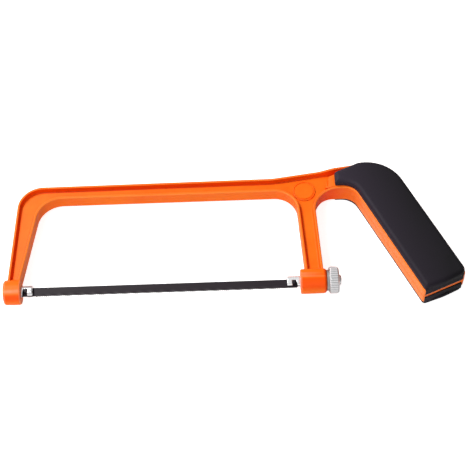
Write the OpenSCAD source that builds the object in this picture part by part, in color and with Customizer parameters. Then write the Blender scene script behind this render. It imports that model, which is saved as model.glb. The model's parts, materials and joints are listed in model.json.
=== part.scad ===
// Junior hacksaw: a die-cast C-frame with a pistol handle, a pinned blade held in two slotted studs,
// and a knurled nut that tensions the rear stud. The saw lies on its side: +X runs along the blade
// towards the handle, +Y from the blade to the back bar, +Z out of the side that faces up.

/* [Blade] */
// Distance between the centres of the two blade pins
pin_spacing = 150; // [140:1:160]
// Height of the blade from its back to the tooth tips
blade_h = 5.7; // [5.4:0.1:5.8]
// Thickness of the blade
blade_t = 0.65; // [0.5:0.05:0.7]
// Teeth per inch of cutting edge
teeth_per_inch = 24; // [14:1:32]
// Diameter of the blade pins
blade_pin_d = 1.8; // [1.6:0.1:1.9]

/* [Frame] */
// Gap from the stud axis to the underside of the back bar
throat = 59; // [54:1:64]
// Height of the back bar, outer edge to inner edge
bar_h = 8.6; // [8:0.2:10]
// Thickness of the casting along the C
bar_t = 9; // [8:0.5:10]
// Thickness of the flange round each recess
flange_t = 1.5; // [1.2:0.1:1.8]
// Thickness of the web between the two recesses
web_t = 2.4; // [2:0.2:3]
// Diameter of the two bosses that carry the studs
boss_d = 14; // [13.5:0.5:15]

/* [Handle] */
// Angle of the handle below the blade's direction
handle_rake = 64.5; // [62:0.5:66]
// Width of the handle from the finger side to the back
handle_w = 27.2; // [26:0.2:28.6]
// Length of the handle along its finger side
handle_l = 79; // [74:0.5:84]
// Thickness of the casting inside the handle
core_t = 12.4; // [11.4:0.2:13]
// How far each grip stands out from the casting
grip_t = 4.3; // [3.5:0.1:5]
// Rounding of the grips' outer edges
grip_round = 2.6; // [2:0.2:2.8]

/* [Studs and nut] */
// Diameter of both slotted studs
stud_d = 6.2; // [6:0.1:6.4]
// Outside diameter of the thread on the tension stud
thread_d = 6; // [5.8:0.1:6]
// Outside diameter of the thumb nut
nut_d = 15.2; // [14:0.2:16]
// Length of the thumb nut
nut_l = 5.4; // [5:0.2:7]
// Number of ridges in the nut's knurl
nut_ridges = 36; // [24:2:48]

/* [Hidden] */
$fn = 64;

// Small gaps: a running fit on the radius, a seated face, and a clear passage
running = 0.05;
seat = 0.05;
clear = 0.3;

// The hook at the end of each stud, measured from the pin's centre
hook_reach = 3.8;
travel = 0.5;
// Gap between each pin and the lip that holds it
pin_gap = 0.2;
hook_lip = blade_pin_d / 2 + pin_gap;
notch_w = hook_lip + blade_pin_d / 2 + travel + 0.1;
notch_flare = 12;
slot_w = blade_t + 1.5 * clear;
blade_tail = 2;
slot_top = 2.45;

// Where the pins hang below the stud axis
front_drop = 0.7;
rear_drop = 1.55;
// Room left above the front pin and the rear pin in their notches
pin_room = [0.25, 0.5];
blade_tilt = -atan((rear_drop - front_drop) / pin_spacing);

// Bosses, with their centre just below the stud axis
boss_r = boss_d / 2;
boss_drop = 0.2;
front_boss = [-12.4, -2.6];
rear_boss = [pin_spacing + 3.8, pin_spacing + 18.6];
stud_depth = 8.4;
stud_flat = 0.7;
washer_t = 1.2;
washer_d = 11.8;
nut_x = rear_boss[1] + washer_t + 2 * seat;
thread_end = nut_x + nut_l + 1.4;

// Plan of the casting: the C's corners, then the handle's own axes
top_y = throat + bar_h;
ramp_rise = 7.5;
ramp_start = [pin_spacing - 9, top_y];
ramp_dir = [cos(ramp_rise), sin(ramp_rise)];
finger_corner = [pin_spacing + 37.5, throat - 1];
along = [cos(handle_rake), -sin(handle_rake)];
across = [sin(handle_rake), cos(handle_rake)];
back_round = 23.5;
heel_slant = 1.3;
heel_round = 3;
toe_round = 1.2;
// How far the casting stands out round the grips
proud = 0.4;
// Pocket in the end of the handle that the grips hook into, leaving a thin wall at each side and a thin rib
pocket = 3;
toe_land = 1;
heel_land = 1.8;
rib_t = 2.2;
// Height of the grips' sides above the casting, where their crowned faces begin
grip_edge = 1.4;
grip_front = pin_spacing + 26.8;
thick_from = pin_spacing + 18.5;
pad_at = [pin_spacing + 9.3, throat + 0.4];
pad_d = 13;
pad_rise = 1.4;

// Points of the handle: u along it from the finger corner, v across it from the finger side
function handle(u, v) = finger_corner + along * u + across * v;
function back_line(v) =
    ramp_start + ramp_dir * (v - (ramp_start - finger_corner) * across) / (ramp_dir * across);
function end_u(v) = handle_l + heel_slant * v / handle_w;

heel_at = handle(end_u(handle_w), handle_w);
toe_at = handle(handle_l, 0);
grip_nose = ramp_start + ramp_dir * 50.2 - [0, 0.7];

// ---- Outlines ----

function unit(v) = v / norm(v);
function turned(v, a) = [v.x * cos(a) - v.y * sin(a), v.x * sin(a) + v.y * cos(a)];
function flat2(p) = [p[0], p[1]];

// One rounded corner at b, between its neighbours a and c; b's third value is the radius
function corner(a, b, c, step) =
    let (
        p = flat2(b),
        u = unit(flat2(a) - p),
        v = unit(flat2(c) - p),
        half = acos(u * v) / 2,
        centre = p + unit(u + v) * b[2] / sin(half),
        start = p + u * b[2] / tan(half) - centre,
        turn = (180 - 2 * half) * sign(cross(v, u)),
        n = max(1, ceil(abs(turn) / step - 0.01))
    )
    b[2] == 0 ? [p] : [for (k = [0:n]) centre + turned(start, turn * k / n)];

// Closed outline with each corner rounded to its own radius
function rounded(pts, step = 9) =
    let (n = len(pts))
    [for (i = [0:n - 1]) each corner(pts[(i + n - 1) % n], pts[i], pts[(i + 1) % n], step)];

// The same corners with every side moved inwards by d, for an outline listed clockwise
function moved_in(pts, d) =
    let (n = len(pts))
    [for (i = [0:n - 1])
        let (
            p = flat2(pts[i]),
            e = unit(p - flat2(pts[(i + n - 1) % n])),
            f = unit(flat2(pts[(i + 1) % n]) - p),
            m = [e.y, -e.x],
            k = [f.y, -f.x],
            q = p + (m + k) * d / (1 + m * k)
        )
        [q.x, q.y, max(0.3, pts[i][2] - d * sign(cross(f, e)))]];

// Casting seen from above, clockwise from the front foot
casting_plan = [
    [-10.7, 0, 0],
    [-6.4, top_y, 14.6],
    concat(ramp_start, 40),
    concat(back_line(handle_w), back_round),
    concat(heel_at, heel_round),
    concat(toe_at, toe_round),
    concat(finger_corner, 9),
    [pin_spacing + 14.8, finger_corner.y - 0.5, 12.5],
    [pin_spacing + 17.3, 0, 0],
    [pin_spacing + 6.9, 0, 0],
    [pin_spacing + 3.9, throat - 0.7, 13],
    [6.5, throat, 14.5],
    [-4, 0, 0]
];

// Grip seen from above, clockwise: its nose is cut off at a slant below the back bar, its end is level with the
// casting's, and the casting shows as a wider line along the finger side than along the back
finger_land = 0.3;
grip_plan = [
    [grip_front, finger_corner.y + 1, 1],
    [grip_front, finger_corner.y + 9.2, 2],
    concat(grip_nose, 0.5),
    concat(back_line(handle_w), back_round),
    concat(handle(end_u(handle_w) + proud, handle_w), 4),
    concat(handle(end_u(finger_land) + proud, finger_land), 1.6),
    concat(handle(-1, finger_land), 10)
];

// Middle of the whole saw in plan, and the height of its middle plane above the surface it lies on
outline = rounded(casting_plan);
outline_y = [for (p = outline) p.y];
mid_x = (front_boss[0] + max([for (p = outline) p.x])) / 2;
mid_y = (min(outline_y) + max(outline_y)) / 2;
rest_z = core_t / 2 + grip_t;

// ---- Shared shapes ----

// Moves a piece from the stud axis to the saw's own origin
module placed() {
    translate([-mid_x, -mid_y, rest_z]) children();
}

// Round bar along X from one end to the other
module bar_x(x0, x1, d) {
    translate([x0, 0, 0]) rotate([0, 90, 0]) cylinder(d = d, h = x1 - x0);
}

// Solid of revolution about X, from a profile of [radius, x, rounding] corners
module turned_x(profile) {
    rotate([0, 90, 0]) rotate_extrude() polygon(rounded(profile, 30));
}

// Plate of the given outline, centred on the saw's middle plane
module plate(outline, t) {
    translate([0, 0, -t / 2]) linear_extrude(t) polygon(outline);
}

// Solid through a stack of clockwise outlines with equal numbers of points, each as [z, points]
module loft(levels) {
    n = len(levels[0][1]);
    last = len(levels) - 1;
    points = [for (level = levels) for (p = level[1]) [p.x, p.y, level[0]]];
    sides = [
        for (k = [0:last - 1]) for (i = [0:n - 1])
            let (a = k * n + i, b = k * n + (i + 1) % n)
            each [[a, b, b + n], [a, b + n, a + n]]
    ];
    foot = [for (i = [n - 1:-1:0]) i];
    crown = [for (i = [0:n - 1]) last * n + i];
    polyhedron(points, concat([foot], sides, [crown]));
}

// Slotted end of a stud: the tip points to +X and the pin's centre is at x = 0, below the axis by the given drop.
// The notch that takes the pin opens at the underside and flares away from the lip.
module hook_cuts(slot_depth, drop, room) {
    reach = 2 * stud_d;
    notch_top = hook_lip - drop + room;
    flare = (reach + notch_top) * tan(notch_flare);
    translate([-slot_depth, -reach, -slot_w / 2])
        cube([reach, reach + slot_top, slot_w]);
    translate([0, 0, -reach / 2]) linear_extrude(reach) polygon(rounded([
        [hook_lip, -reach, 0],
        [hook_lip - notch_w - flare, -reach, 0],
        [hook_lip - notch_w, notch_top, notch_w * 0.3],
        [hook_lip, notch_top, notch_w * 0.3]
    ]));
}

// Space in the end of the handle that a grip hooks into, upwards from the given height
module end_pocket(from) {
    translate([0, 0, from]) linear_extrude(2 * core_t) polygon(rounded([
        concat(handle(handle_l + 10, toe_land), 0),
        concat(handle(handle_l + 10, handle_w - heel_land), 0),
        concat(handle(end_u(handle_w) - pocket, handle_w - heel_land), 1),
        concat(handle(end_u(0) - pocket, toe_land), 1)
    ]));
}

// ---- Frame casting ----

// Thickness of the casting seen along Y: thin along the C, full in the handle
module side_profile() {
    thin = bar_t / 2;
    full = core_t / 2;
    far = pin_spacing + 120;
    half = [[-30, thin], [thick_from, thin], [grip_front, full], [far, full]];
    lower = [for (i = [len(half) - 1:-1:0]) [half[i].x, -half[i].y]];
    translate([0, 200, 0]) rotate([90, 0, 0]) linear_extrude(400) polygon(concat(half, lower));
}

// Area where the two sides of the casting are recessed
module recess_area() {
    border = grip_front - 3.2;
    floor_y = boss_r + 1.2;
    intersection() {
        polygon(rounded(moved_in(casting_plan, flange_t)));
        polygon([
            [-20, floor_y], [-20, 100], [grip_nose.x, 100], [grip_nose.x, grip_nose.y - flange_t],
            [grip_front, finger_corner.y + 9.2], [border, finger_corner.y + 8.4], [border, floor_y]
        ]);
    }
}

// Boss with rounded rims, and its centre just below the stud axis
module boss(ends, front_round, rear_round) {
    translate([0, -boss_drop, 0])
        turned_x([
            [0, ends[0], 0], [boss_r, ends[0], front_round],
            [boss_r, ends[1], rear_round], [0, ends[1], 0]
        ]);
}

// Bar with one flat along its underside, which keeps the tension stud from turning
module keyed_bar(x0, x1, d, flat) {
    difference() {
        bar_x(x0, x1, d);
        translate([x0 - 1, -d, -d / 2 - d]) cube([x1 - x0 + 2, 2 * d, d + flat]);
    }
}

module frame_casting() {
    color("orangered") placed() difference() {
        union() {
            intersection() {
                plate(outline, core_t);
                side_profile();
            }
            boss(front_boss, 1.2, 0.8);
            boss(rear_boss, 0.8, 2);
        }
        for (side = [0, 1]) mirror([0, 0, side]) {
            end_pocket(rib_t / 2);
            difference() {
                translate([0, 0, web_t / 2]) linear_extrude(core_t) recess_area();
                translate([pad_at.x, pad_at.y, 0]) difference() {
                    cylinder(d = pad_d, h = web_t / 2 + pad_rise);
                    translate([0, 0, web_t / 2 + pad_rise - 0.5]) difference() {
                        cylinder(d = pad_d - 1, h = 1);
                        cylinder(d = pad_d - 2.2, h = 1);
                    }
                }
            }
        }
        bar_x(front_boss[1] - stud_depth, front_boss[1] + 1, stud_d);
        keyed_bar(rear_boss[0] - 1, rear_boss[1] - 5, stud_d + 2 * running, stud_flat - running);
        bar_x(rear_boss[1] - 5.01, rear_boss[1] + 1, stud_d + 2 * running);
    }
}

// ---- Studs, washer and nut ----

module front_stud() {
    color("silver") placed() difference() {
        turned_x([
            [0, front_boss[1] - stud_depth, 0], [stud_d / 2, front_boss[1] - stud_depth, 0.5],
            [stud_d / 2, hook_reach, 0.4], [0, hook_reach, 0]
        ]);
        hook_cuts(blade_tail + clear, front_drop, pin_room[0]);
    }
}

module tension_stud() {
    shank_end = rear_boss[1] - 3;
    color("silver") placed() difference() {
        union() {
            intersection() {
                turned_x([
                    [0, pin_spacing - hook_reach, 0], [stud_d / 2, pin_spacing - hook_reach, 0.4],
                    [stud_d / 2, shank_end, 0.1], [0, shank_end, 0]
                ]);
                keyed_bar(pin_spacing - 10, shank_end + 10, stud_d + 2, stud_flat + 1);
            }
            turned_x([
                [0, shank_end - 1, 0], [thread_d / 2, shank_end - 1, 0],
                [thread_d / 2, thread_end, 0.6], [0, thread_end, 0]
            ]);
        }
        translate([pin_spacing, 0, 0]) mirror([1, 0, 0]) hook_cuts(blade_tail + 3 * clear + travel, rear_drop, pin_room[1]);
    }
}

module thrust_washer() {
    color("silver") placed() difference() {
        bar_x(rear_boss[1] + seat, rear_boss[1] + seat + washer_t, washer_d);
        bar_x(rear_boss[1] - 1, nut_x + 1, thread_d + 0.6);
    }
}

// Round nut with a straight knurl: ridges and grooves alternate round its rim
module thumb_nut() {
    crest = nut_d / 2;
    groove = crest - 0.45;
    rim = [
        for (i = [0:nut_ridges - 1])
            let (a = 360 * i / nut_ridges, w = 360 / nut_ridges)
            each [for (p = [[groove, 0], [crest, 0.3], [crest, 0.7]])
                p[0] * [cos(a + w * p[1]), sin(a + w * p[1])]]
    ];
    color("gainsboro") placed() difference() {
        intersection() {
            translate([nut_x, 0, 0]) rotate([0, 90, 0]) linear_extrude(nut_l) polygon(rim);
            turned_x([
                [0, nut_x, 0], [crest - 0.5, nut_x, 0], [crest, nut_x + 0.5, 0],
                [crest, nut_x + nut_l - 0.9, 0], [crest - 0.9, nut_x + nut_l, 0], [0, nut_x + nut_l, 0]
            ]);
        }
        bar_x(nut_x - 1, nut_x + nut_l + 1, thread_d + 2 * running);
    }
}

// ---- Blade ----

// Lays out a piece of the blade: the front pin's centre is at the origin
module hung() {
    placed() translate([0, -front_drop, 0]) rotate([0, 0, blade_tilt]) children();
}

module saw_blade() {
    pitch = 25.4 / teeth_per_inch;
    tooth_h = 0.7 * pitch;
    back = blade_h / 2;
    root = tooth_h - blade_h / 2;
    first = hook_reach + 2.5;
    count = floor((pin_spacing - 2 * first) / pitch);
    teeth = [
        for (i = [0:count - 1])
            each [[first + i * pitch, -blade_h / 2], [first + (i + 0.25) * pitch, root],
                [first + (i + 0.6) * pitch, root]]
    ];
    end = pin_spacing + blade_tail;
    color("dimgray") hung() difference() {
        plate(concat(
            [[-blade_tail, root], [-blade_tail, back - 0.6], [0.6 - blade_tail, back],
                [end - 0.6, back], [end, back - 0.6], [end, root]],
            [for (i = [len(teeth) - 1:-1:0]) teeth[i]]
        ), blade_t);
        for (x = [0, pin_spacing]) translate([x, 0, 0])
            cylinder(d = blade_pin_d, h = 2 * blade_t, center = true);
    }
}

module blade_pin(x) {
    color("dimgray") hung() translate([x, 0, 0])
        cylinder(d = blade_pin_d, h = stud_d - 0.8, center = true);
}

module front_blade_pin() {
    blade_pin(0);
}

module rear_blade_pin() {
    blade_pin(pin_spacing);
}

// ---- Grips ----

// Moulded cover on one side of the handle, with a hook at its end that fills the casting's pocket
module grip() {
    face = core_t / 2 + grip_t;
    crown = grip_t - grip_edge;
    arc_steps = 5;
    beyond = 5;
    levels = concat(
        [[rib_t / 2, rounded(moved_in(grip_plan, proud))]],
        [for (k = [0:arc_steps])
            let (a = 90 * k / arc_steps)
            [face - crown * (1 - sin(a)),
                rounded(moved_in(grip_plan, proud + grip_round * (1 - cos(a))))]]
    );
    difference() {
        loft(levels);
        difference() {
            plate([
                [grip_front - beyond, finger_corner.y - beyond],
                ramp_start,
                back_line(handle_w + beyond),
                handle(handle_l + 2 * beyond, handle_w + beyond),
                handle(handle_l + 2 * beyond, -beyond),
                handle(0, -beyond)
            ], core_t);
            end_pocket(-core_t);
        }
    }
}

module upper_grip() {
    color("#26242b") placed() grip();
}

module lower_grip() {
    color("#26242b") placed() mirror([0, 0, 1]) grip();
}

frame_casting();
front_stud();
tension_stud();
thrust_washer();
thumb_nut();
saw_blade();
front_blade_pin();
rear_blade_pin();
upper_grip();
lower_grip();
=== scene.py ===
# Junior hacksaw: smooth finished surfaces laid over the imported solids, in their frame.
# Saw coordinates are millimetres: x from the front pin, y from the stud axis, z from the blade's plane.
import json

import bpy
import numpy as np
from mathutils import Matrix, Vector
from mathutils.geometry import delaunay_2d_cdt


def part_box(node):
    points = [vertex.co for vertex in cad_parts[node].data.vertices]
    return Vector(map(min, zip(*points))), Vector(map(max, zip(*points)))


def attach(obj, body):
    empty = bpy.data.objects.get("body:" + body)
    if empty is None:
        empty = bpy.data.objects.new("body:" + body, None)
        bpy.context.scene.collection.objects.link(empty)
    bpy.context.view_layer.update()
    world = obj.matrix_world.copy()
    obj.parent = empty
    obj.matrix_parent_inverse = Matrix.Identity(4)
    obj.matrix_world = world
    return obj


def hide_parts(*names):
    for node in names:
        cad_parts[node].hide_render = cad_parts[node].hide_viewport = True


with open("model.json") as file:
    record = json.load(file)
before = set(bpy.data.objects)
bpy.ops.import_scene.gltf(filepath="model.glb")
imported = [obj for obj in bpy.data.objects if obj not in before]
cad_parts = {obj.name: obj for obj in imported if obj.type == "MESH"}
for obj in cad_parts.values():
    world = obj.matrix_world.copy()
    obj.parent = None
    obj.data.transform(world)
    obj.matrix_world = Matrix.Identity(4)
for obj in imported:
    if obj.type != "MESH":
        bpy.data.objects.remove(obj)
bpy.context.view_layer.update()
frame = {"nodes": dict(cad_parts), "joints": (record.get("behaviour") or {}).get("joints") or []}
scene = bpy.context.scene
scene.view_settings.view_transform = "Standard"

# The stud axis comes from the nut's hinge, and x = 0 from the front pin
joints = {joint["name"]: joint for joint in frame["joints"]}
axisAt = joints["nut_turn"]["pos_m"]
pinLow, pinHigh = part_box("front_blade_pin")
sawOrigin = np.array([(pinLow[0] + pinHigh[0]) / 2, axisAt[1], axisAt[2]])


def toMetres(points):
    # The saw's origin plus a thousandth of each saw coordinate
    return sawOrigin + np.asarray(points, float) * 0.001


# The camera's aim and distance are in saw millimetres, the lamps' places and sizes in metres
view = {"aim": (118.147, 32.25, 0.0), "distance": 780.0, "height": 58.0, "roll": -2.198,
        "lens": 104.26, "sensor": 36.0, "clip": (0.01, 50.0)}
lamps = {
    "key": {"place": (-0.48, 0.36, 0.9), "size": 0.34, "watts": 8.6, "tint": (1, 0.985, 0.96),
            "shine": True},
    "top": {"place": (-0.4, -0.5, 0.85), "size": 0.18, "watts": 2.4, "tint": (1, 1, 1), "shine": True},
    "front": {"place": (-0.1, -0.8, 0.4), "size": 0.8, "watts": 2.2, "tint": (1, 1, 1), "shine": False},
}


def placedMatrix(right, up, back, place):
    # The three axes are the first columns, the place is the last
    matrix = Matrix((right, up, back)).transposed().to_4x4()
    matrix.translation = place
    return matrix


def makeCamera():
    # Looks at the aim point from the height angle, then rolls about its line of sight: right becomes
    # right cos + up sin, and up becomes up cos - right sin
    height, roll = np.radians([view["height"], view["roll"]])
    forward = np.array([0.0, np.cos(height), -np.sin(height)])
    right = np.array([1.0, 0.0, 0.0])
    up = np.cross(right, forward)
    place = toMetres(view["aim"]) - forward * view["distance"] * 0.001
    data = bpy.data.cameras.new("sawCamera")
    data.lens, data.sensor_width = view["lens"], view["sensor"]
    data.clip_start, data.clip_end = view["clip"]
    camera = bpy.data.objects.new("sawCamera", data)
    scene.collection.objects.link(camera)
    rolledRight = np.cos(roll) * right + np.sin(roll) * up
    rolledUp = np.cos(roll) * up - np.sin(roll) * right
    camera.matrix_world = placedMatrix(rolledRight, rolledUp, -forward, place)
    bpy.context.scene.camera = camera


def makeLamp(name, values):
    # Round soft lamp that faces the frame's origin
    data = bpy.data.lights.new(name, "AREA")
    data.shape, data.size = "DISK", values["size"]
    data.energy, data.color = values["watts"], values["tint"]
    lamp = bpy.data.objects.new(name, data)
    lamp.visible_glossy = values["shine"]
    scene.collection.objects.link(lamp)
    place = np.array(values["place"])
    back = place / np.linalg.norm(place)
    side = np.cross([0.0, 1.0, 0.2], back)
    side /= np.linalg.norm(side)
    lamp.matrix_world = placedMatrix(side, np.cross(back, side), back, place)


makeCamera()
for lampName, lampValues in lamps.items():
    makeLamp(lampName + "Light", lampValues)
print("camera and lamps ready")


# Node helpers: each returns the socket that the next node reads, except addNode and newGroup

def feed(tree, value, socket):
    # Links a socket, or sets a number or a colour
    if isinstance(value, bpy.types.NodeSocket):
        tree.links.new(value, socket)
    else:
        socket.default_value = value


def addNode(tree, kind, **values):
    # Keys that begin with in_ are input sockets, the others are the node's own settings
    node = tree.nodes.new("ShaderNode" + kind)
    for key, value in values.items():
        if key.startswith("in_"):
            feed(tree, value, node.inputs[key[3:].replace("_", " ")])
        else:
            setattr(node, key, value)
    return node


def addMath(tree, operation, *values, clamp=False):
    # One operation on numbers or sockets
    node = addNode(tree, "Math", operation=operation, use_clamp=clamp)
    for socket, value in zip(node.inputs, values):
        feed(tree, value, socket)
    return node.outputs[0]


def mapRange(tree, value, low, high, start=0.0):
    # Stretches start..1 to low..high
    node = addNode(tree, "MapRange", in_Value=value, in_From_Min=start, in_To_Min=low, in_To_Max=high)
    return node.outputs[0]


def mixColours(tree, mask, low, high):
    # Sockets 6 and 7 are the node's two colours; low may be a colour or a socket
    node = addNode(tree, "Mix", data_type="RGBA", in_Factor=mask)
    feed(tree, (*low, 1.0) if isinstance(low, tuple) else low, node.inputs[6])
    feed(tree, (*high, 1.0), node.inputs[7])
    return node.outputs[2]


def readMask(tree, name):
    # A mask that the mesh carries
    return addNode(tree, "Attribute", attribute_name=name).outputs["Fac"]


def newGroup(name, output, **inputs):
    # Node group with float inputs and one float output
    tree = bpy.data.node_groups.new(name, "ShaderNodeTree")
    for socketName, value in inputs.items():
        socket = tree.interface.new_socket(socketName, in_out="INPUT", socket_type="NodeSocketFloat")
        socket.default_value = value
    tree.interface.new_socket(output, in_out="OUTPUT", socket_type="NodeSocketFloat")
    return tree, tree.nodes.new("NodeGroupInput"), tree.nodes.new("NodeGroupOutput")


def placeGroup(tree, group, *values):
    # The values fill the group's inputs in order
    node = tree.nodes.new("ShaderNodeGroup")
    node.node_tree = group
    for socket, value in zip(node.inputs, values):
        socket.default_value = value
    return node.outputs[0]


def objectCoords(tree):
    # The object's own coordinates, in metres
    return addNode(tree, "TexCoord").outputs["Object"]


room = {"strength": 0.3, "mirrored": 0.95, "left": 1.4, "right": 0.3}


def makeRoom():
    # World strength: brighter in reflections than as a light, like white walls round a lamp-lit table, times
    # a slope from left to right. The camera sees plain white beyond the floor.
    world = bpy.data.worlds.new("studioWorld")
    scene.world = world
    world.use_nodes = True
    tree = world.node_tree
    background = tree.nodes["Background"]
    background.inputs["Color"].default_value = (1.0, 1.0, 1.0, 1.0)
    ray = addNode(tree, "LightPath").outputs
    split = addNode(tree, "SeparateXYZ", in_Vector=addNode(tree, "TexCoord").outputs["Generated"])
    level = mapRange(tree, ray["Is Glossy Ray"], room["strength"], room["mirrored"])
    slope = mapRange(tree, split.outputs["X"], room["left"], room["right"], start=-1.0)
    strength = addMath(tree, "MULTIPLY", slope, level)
    seen = addNode(tree, "Mix", in_Factor=ray["Is Camera Ray"], in_A=strength, in_B=1.0)
    tree.links.new(seen.outputs[0], background.inputs["Strength"])


makeRoom()


# Surface effects that several finishes share

def makeMottle(fineTimes=6.0, fineShare=0.35):
    # Two sizes of cloud in one mask: clamp((broad + share x fine - their middle) x contrast + 0.5)
    tree, given, made = newGroup("mottle", "Mask", Size=60.0, Contrast=1.0)
    coords, size = objectCoords(tree), given.outputs["Size"]
    fineSize = addMath(tree, "MULTIPLY", size, fineTimes)
    broad = addNode(tree, "TexNoise", in_Vector=coords, in_Scale=size, in_Detail=3.0, in_Roughness=0.55)
    fine = addNode(tree, "TexNoise", in_Vector=coords, in_Scale=fineSize, in_Detail=4.0, in_Roughness=0.6)
    both = addMath(tree, "MULTIPLY_ADD", fine.outputs[0], fineShare, broad.outputs[0])
    centred = addMath(tree, "SUBTRACT", both, (1 + fineShare) / 2)
    mask = addMath(tree, "MULTIPLY_ADD", centred, given.outputs["Contrast"], 0.5, clamp=True)
    tree.links.new(mask, made.inputs["Mask"])
    return tree


def makeGrain():
    # Fine height field, noise mixed with rounded cells, for paint's skin and a moulding's grain
    tree, given, made = newGroup("grain", "Height", Size=900.0, Cells=0.5)
    coords, size = objectCoords(tree), given.outputs["Size"]
    noise = addNode(tree, "TexNoise", in_Vector=coords, in_Scale=size, in_Detail=2.0, in_Roughness=0.5)
    cells = addNode(tree, "TexVoronoi", feature="SMOOTH_F1", in_Vector=coords, in_Scale=size)
    mix = addNode(tree, "Mix", data_type="FLOAT", in_Factor=given.outputs["Cells"],
                  in_A=noise.outputs[0], in_B=cells.outputs["Distance"])
    tree.links.new(mix.outputs[0], made.inputs["Height"])
    return tree


def makeLathe():
    # Rings round the saw's long axis: noise squeezed to fine bands along x, for turned metal
    tree, given, made = newGroup("lathe", "Height", Size=4000.0)
    squeezed = addNode(tree, "Mapping", in_Vector=objectCoords(tree), in_Scale=(1.0, 0.03, 0.03)).outputs[0]
    noise = addNode(tree, "TexNoise", in_Vector=squeezed, in_Scale=given.outputs["Size"], in_Detail=2.0)
    tree.links.new(noise.outputs[0], made.inputs["Height"])
    return tree


mottle, grain, lathe = makeMottle(), makeGrain(), makeLathe()


# Finishes. In each dictionary cloud and fleck are (size, contrast), peel is (size, share of cells), relief
# is a group and its inputs, streak is (size, squeeze along x) and bump is (strength, depth in metres).
# The pieces carry the masks rim (paler edges: painted highlight, partly worn paint) and
# hollow (painted shade).

def newMaterial(name, specular):
    # Node material, its tree and its main shader
    material = bpy.data.materials.new(name)
    material.use_nodes = True
    shader = material.node_tree.nodes["Principled BSDF"]
    shader.inputs["Specular IOR Level"].default_value = specular
    return material, material.node_tree, shader


def wireFinish(tree, shader, colour, gloss, height, look):
    # Colour, bump from the height, and roughness between its two values as the gloss mask goes from 0 to 1
    strength, distance = look["bump"]
    bump = addNode(tree, "Bump", in_Height=height, in_Strength=strength, in_Distance=distance)
    tree.links.new(colour, shader.inputs["Base Color"])
    tree.links.new(mapRange(tree, gloss, *look["roughness"]), shader.inputs["Roughness"])
    tree.links.new(bump.outputs[0], shader.inputs["Normal"])


# paintedShadeRed and paintedDeepShade are painted shade; edge is the rims' colour, a painted highlight that
# is partly worn paint
enamelLook = {
    "orange": (1.0, 0.182, 0.006), "deep": (0.98, 0.142, 0.003), "edge": (1.0, 0.235, 0.035),
    "paintedShadeRed": (1.0, 0.085, 0.001), "paintedDeepShade": (0.78, 0.07, 0.001), "specular": 0.14, "roughness": (0.34, 0.46),
    "cloud": (45.0, 2.2), "fleck": (420.0, 1.6), "leastFleck": 0.55, "peel": (700.0, 0.25),
    "bump": (0.12, 0.00025),
}


def makeEnamel(name, look):
    # Orange enamel: clouded hue, painted shade that turns redder and then darker as the hollow mask
    # grows, lighter in flecks where the rim mask is (painted highlight, partly worn paint), with a faint
    # orange-peel skin
    material, tree, shader = newMaterial(name, look["specular"])
    cloud = placeGroup(tree, mottle, *look["cloud"])
    fleck = placeGroup(tree, mottle, *look["fleck"])
    hollow = readMask(tree, "hollow")
    colour = mixColours(tree, cloud, look["deep"], look["orange"])
    # Painted shade: redder, then darker, as the hollow mask grows
    colour = mixColours(tree, mapRange(tree, hollow, 0.0, 2.0), colour, look["paintedShadeRed"])
    colour = mixColours(tree, mapRange(tree, hollow, -1.0, 1.0), colour, look["paintedDeepShade"])
    # Painted highlight, partly worn paint: the edge colour in flecks where the rim mask is
    fleckShare = mapRange(tree, fleck, look["leastFleck"], 1.0)
    worn = addMath(tree, "MULTIPLY", readMask(tree, "rim"), fleckShare, clamp=True)
    colour = mixColours(tree, worn, colour, look["edge"])
    wireFinish(tree, shader, colour, cloud, placeGroup(tree, grain, *look["peel"]), look)
    return material


metalLook = {"metallic": 1.0, "specular": 0.5, "cloud": (160.0, 2.0), "bump": (0.2, 0.00004)}
finishLooks = {
    # Soft black moulding, greyer towards the finger side: a painted sheen
    "gripRubber": {"base": ((0.0005, 0.0002, 0.001), (0.0045, 0.003, 0.006)), "rim": (0.025, 0.018, 0.03),
                   "metallic": 0.0, "specular": 0.18, "roughness": (0.54, 0.7), "cloud": (70.0, 1.8),
                   "relief": (grain, 2600.0, 0.65), "bump": (0.25, 0.00012)},
    # Black enamelled steel, greyer on the worn cutting edge
    "bladeBlack": {"base": ((0.011, 0.0075, 0.0105), (0.024, 0.018, 0.0235)), "rim": (0.16, 0.155, 0.16),
                   "metallic": 0.0, "specular": 0.15, "roughness": (0.38, 0.52), "streak": (1800.0, 0.06),
                   "bump": (0.1, 0.00004)},
    # Plated steel; in the last two the base shows where the rim mask is low, as painted shade at the
    # bottom of a groove, and the rim colour is a lighter painted reflection
    # The washer's steel is painted dark: painted shade for the shade between boss and nut
    "shadedWasherSteel": {**metalLook, "base": ((0.3, 0.29, 0.29), (0.46, 0.45, 0.45)), "roughness": (0.3, 0.45),
                  "relief": (lathe, 5000.0)},
    "studSteel": {**metalLook, "base": ((0.76, 0.76, 0.78), (0.12, 0.12, 0.13)), "rim": (0.88, 0.88, 0.89),
                  "roughness": (0.2, 0.32), "relief": (lathe, 5000.0)},
    "nutSteel": {**metalLook, "base": ((0.46, 0.46, 0.47), (0.5, 0.5, 0.51)), "rim": (0.77, 0.76, 0.77),
                 "roughness": (0.3, 0.42), "relief": (lathe, 7000.0)},
}


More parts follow.
